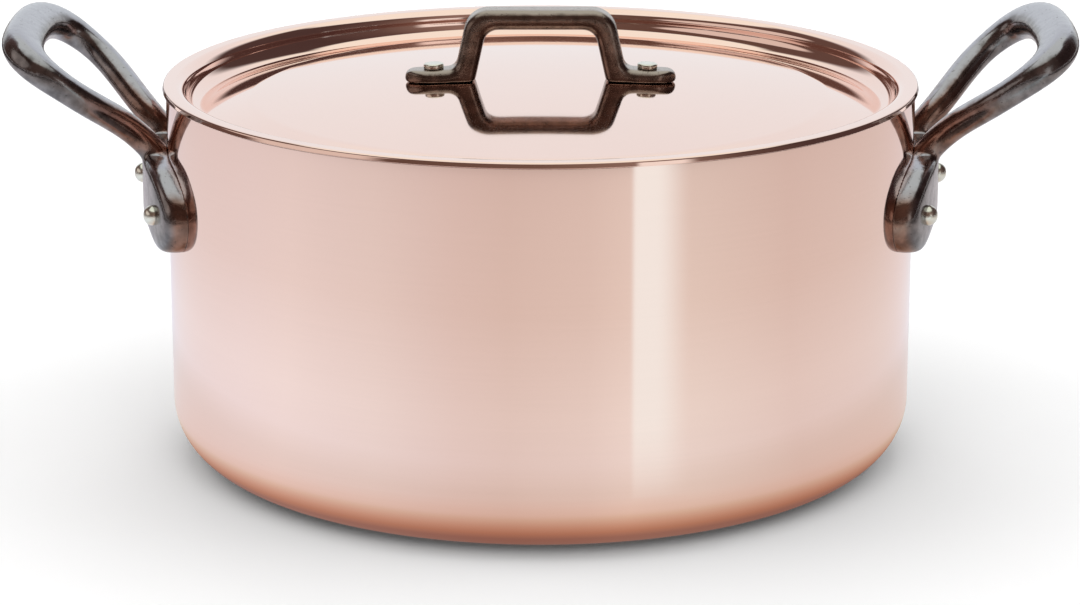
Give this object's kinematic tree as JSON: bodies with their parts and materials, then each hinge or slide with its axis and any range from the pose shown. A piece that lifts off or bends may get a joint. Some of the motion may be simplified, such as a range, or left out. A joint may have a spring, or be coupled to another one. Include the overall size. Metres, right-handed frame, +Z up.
{
  "type": "cooking pot with lid",
  "caption": "Round straight-sided copper cooking pot with cast-iron loop handles riveted to its wall and a dished lid that drops in and lifts off by a riveted bridge handle.",
  "frame": {"origin": "on the table under the middle of the base", "axes": "+X through the right-hand loop handle, +Y away from the picture's viewer, +Z up"},
  "size_m": [0.3472, 0.246, 0.1468],
  "materials": {
    "copper": null,
    "lining": "satin",
    "iron": "smooth cast, slightly glossy",
    "rivet": "polished"
  },
  "bodies": {
    "pot": {"pot_shell": "copper", "pot_lining": "lining", "right_handle": "iron", "left_handle": "iron", "right_handle_rivet_top": "rivet", "right_handle_rivet_front": "rivet", "right_handle_rivet_back": "rivet", "left_handle_rivet_top": "rivet", "left_handle_rivet_front": "rivet", "left_handle_rivet_back": "rivet"},
    "lid": {"lid_shell": "copper", "lid_lining": "lining", "lid_handle": "iron", "lid_handle_rivet_left": "rivet", "lid_handle_rivet_right": "rivet"}
  },
  "joints": [
    {"name": "lid_lift", "type": "slide", "parent": "pot", "child": "lid", "axis": [0, 0, 1], "range_m": [0, 0.1]}
  ]
}
